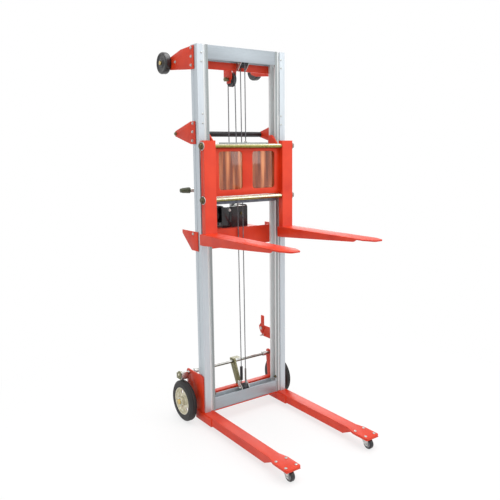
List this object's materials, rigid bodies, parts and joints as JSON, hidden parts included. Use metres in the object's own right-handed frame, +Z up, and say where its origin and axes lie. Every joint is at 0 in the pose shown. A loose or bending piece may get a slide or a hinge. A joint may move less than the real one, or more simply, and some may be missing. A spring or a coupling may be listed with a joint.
{
  "type": "hand pallet stacker",
  "caption": "Hand-winch pallet stacker: telescopic aluminium mast on straddle legs, with a fork carriage hung on a wire rope, a crank winch, a push bar and a parking brake.",
  "frame": {"origin": "on the floor, under the middle of the box round the whole machine", "axes": "+Z up, the forks point along -Y, +X to the right seen from behind the forks, facing the mast"},
  "size_m": [0.6466, 0.973, 1.77],
  "materials": {
    "red_paint": "semi-gloss powder coat",
    "mast_aluminium": "satin anodised extrusion",
    "zinc": "bright zinc plated",
    "yellow_zinc": "yellow zinc plated",
    "black_steel": "black enamel",
    "tyre_rubber": "matte black rubber",
    "wheel_rubber": "moulded black rubber",
    "rim_cream": "moulded cream plastic",
    "grey_nylon": "machined nylon",
    "white_nylon": "moulded nylon",
    "guard_clear": "clear smoky sheet",
    "steel_rope": "stranded wire rope",
    "grip_plastic": "moulded black plastic"
  },
  "bodies": {
    "frame": {"outer_upright_left": "mast_aluminium", "outer_upright_right": "mast_aluminium", "mast_slide_pads": "white_nylon", "leg_left": "red_paint", "leg_right": "red_paint", "base_plate_left": "red_paint", "base_plate_right": "red_paint", "base_cross_tube": "red_paint", "axle_bolts": "zinc", "top_bracket_left": "red_paint", "top_bracket_right": "red_paint", "top_cross_plate": "red_paint", "handle_bracket_left": "red_paint", "handle_bracket_right": "red_paint", "push_handle": "black_steel", "winch_bracket_left": "red_paint", "winch_bracket_right": "red_paint", "winch_cross_plate": "red_paint", "winch_frame": "black_steel", "rope_winch_run": "steel_rope", "rope_mast_run": "steel_rope", "latch_bracket": "red_paint"},
    "inner_mast": {"inner_upright_left": "mast_aluminium", "inner_upright_right": "mast_aluminium", "top_crossbar": "mast_aluminium", "bottom_crossbar": "mast_aluminium", "sheave_cheeks": "zinc", "rope_inner_run": "steel_rope", "rope_carriage_run": "steel_rope"},
    "carriage": {"carriage_panel": "red_paint", "guard_sheet": "guard_clear", "fork_left": "red_paint", "fork_right": "red_paint", "carriage_rods": "yellow_zinc", "roller_plate_left": "zinc", "roller_plate_right": "zinc", "roller_tie": "zinc"},
    "winch_drum": {"winch_drum": "black_steel", "drum_gear": "zinc"},
    "crank": {"crank": "black_steel", "ratchet_disc": "black_steel"},
    "crank_grip": {"crank_grip": "grip_plastic"},
    "brake_pawl": {"brake_pawl": "black_steel"},
    "fixed_sheave": {"fixed_sheave": "grey_nylon"},
    "mast_top_sheave": {"mast_top_sheave": "grey_nylon"},
    "mast_bottom_sheave": {"mast_bottom_sheave": "grey_nylon"},
    "upper_rollers": {"upper_rollers": "grey_nylon"},
    "lower_rollers": {"lower_rollers": "grey_nylon"},
    "parking_brake": {"brake_shaft": "zinc"},
    "latch_lever": {"latch_lever": "red_paint"},
    "rear_wheel_left": {"rear_rim_left": "rim_cream", "rear_tyre_left": "tyre_rubber"},
    "loading_wheel_left": {"loading_wheel_left": "wheel_rubber"},
    "caster_left": {"caster_fork_left": "zinc"},
    "caster_wheel_left": {"caster_wheel_left": "wheel_rubber"},
    "rear_wheel_right": {"rear_rim_right": "rim_cream", "rear_tyre_right": "tyre_rubber"},
    "loading_wheel_right": {"loading_wheel_right": "wheel_rubber"},
    "caster_right": {"caster_fork_right": "zinc"},
    "caster_wheel_right": {"caster_wheel_right": "wheel_rubber"}
  },
  "joints": [
    {"name": "inner_mast_lift", "type": "slide", "parent": "frame", "child": "inner_mast", "axis": [0, 0, 1], "range_m": [0, 1.3], "deforming": ["rope_mast_run"]},
    {"name": "carriage_lift", "type": "slide", "parent": "inner_mast", "child": "carriage", "axis": [0, 0, 1], "range_m": [-0.8, 0.3], "deforming": ["rope_carriage_run"]},
    {"name": "winch_drum_spin", "type": "hinge", "parent": "frame", "child": "winch_drum", "pos_m": [0, 0.3005, 1], "axis": [1, 0, 0], "range_deg": [-1480, 556]},
    {"name": "crank_spin", "type": "hinge", "parent": "frame", "child": "crank", "pos_m": [0, 0.3605, 1], "axis": [1, 0, 0], "range_deg": [-2219, 5916]},
    {"name": "fixed_sheave_spin", "type": "hinge", "parent": "frame", "child": "fixed_sheave", "pos_m": [-0.014, 0.2405, 1.637], "axis": [1, 0, 0], "range_deg": [-594, 1582]},
    {"name": "mast_top_sheave_spin", "type": "hinge", "parent": "inner_mast", "child": "mast_top_sheave", "pos_m": [0.018, 0.1935, 1.708], "axis": [1, 0, 0], "range_deg": [-956, 2548]},
    {"name": "mast_bottom_sheave_spin", "type": "hinge", "parent": "inner_mast", "child": "mast_bottom_sheave", "pos_m": [0, 0.1935, 0.1283], "axis": [1, 0, 0], "range_deg": [-2548, 956]},
    {"name": "upper_rollers_roll", "type": "hinge", "parent": "carriage", "child": "upper_rollers", "pos_m": [0, 0.191, 1.346], "axis": [1, 0, 0], "range_deg": [-2831, 1063]},
    {"name": "lower_rollers_roll", "type": "hinge", "parent": "carriage", "child": "lower_rollers", "pos_m": [0, 0.191, 1.118], "axis": [1, 0, 0], "range_deg": [-1063, 2831]},
    {"name": "crank_grip_spin", "type": "hinge", "parent": "crank", "child": "crank_grip", "pos_m": [0, 0.39496, 1.12016], "axis": [1, 0, 0], "continuous": true},
    {"name": "brake_pawl_lift", "type": "hinge", "parent": "frame", "child": "brake_pawl", "pos_m": [-0.072, 0.3305, 1.03], "axis": [1, 0, 0], "range_deg": [0, 30]},
    {"name": "parking_brake_pedal", "type": "hinge", "parent": "frame", "child": "parking_brake", "pos_m": [0, 0.3055, 0.231], "axis": [1, 0, 0], "range_deg": [-22, 0]},
    {"name": "latch_turn", "type": "hinge", "parent": "frame", "child": "latch_lever", "pos_m": [0.2475, 0.364, 0.3535], "axis": [1, 0, 0], "range_deg": [-70, 0]},
    {"name": "rear_wheel_left_spin", "type": "hinge", "parent": "frame", "child": "rear_wheel_left", "pos_m": [-0.288, 0.2875, 0.1], "axis": [1, 0, 0], "continuous": true},
    {"name": "loading_wheel_left_spin", "type": "hinge", "parent": "frame", "child": "loading_wheel_left", "pos_m": [-0.2638, 0.4365, 1.717], "axis": [1, 0, 0], "continuous": true},
    {"name": "caster_left_swivel", "type": "hinge", "parent": "frame", "child": "caster_left", "pos_m": [-0.2235, -0.4225, 0.056], "axis": [0, 0, 1], "continuous": true},
    {"name": "caster_wheel_left_spin", "type": "hinge", "parent": "caster_left", "child": "caster_wheel_left", "pos_m": [-0.2235, -0.4525, 0.024], "axis": [1, 0, 0], "continuous": true},
    {"name": "rear_wheel_right_spin", "type": "hinge", "parent": "frame", "child": "rear_wheel_right", "pos_m": [0.288, 0.2875, 0.1], "axis": [1, 0, 0], "continuous": true},
    {"name": "loading_wheel_right_spin", "type": "hinge", "parent": "frame", "child": "loading_wheel_right", "pos_m": [0.2638, 0.4365, 1.717], "axis": [1, 0, 0], "continuous": true},
    {"name": "caster_right_swivel", "type": "hinge", "parent": "frame", "child": "caster_right", "pos_m": [0.2235, -0.4225, 0.056], "axis": [0, 0, 1], "continuous": true},
    {"name": "caster_wheel_right_spin", "type": "hinge", "parent": "caster_right", "child": "caster_wheel_right", "pos_m": [0.2235, -0.4525, 0.024], "axis": [1, 0, 0], "continuous": true}
  ],
  "couplings": [
    {"joint": "winch_drum_spin", "follows": "carriage_lift", "rad_per_m": 32.258},
    {"joint": "crank_spin", "follows": "carriage_lift", "rad_per_m": -129.03},
    {"joint": "fixed_sheave_spin", "follows": "carriage_lift", "rad_per_m": -34.483},
    {"joint": "mast_top_sheave_spin", "follows": "carriage_lift", "rad_per_m": -55.556},
    {"joint": "mast_bottom_sheave_spin", "follows": "carriage_lift", "rad_per_m": 55.556},
    {"joint": "upper_rollers_roll", "follows": "carriage_lift", "rad_per_m": 61.728},
    {"joint": "lower_rollers_roll", "follows": "carriage_lift", "rad_per_m": -61.728}
  ]
}
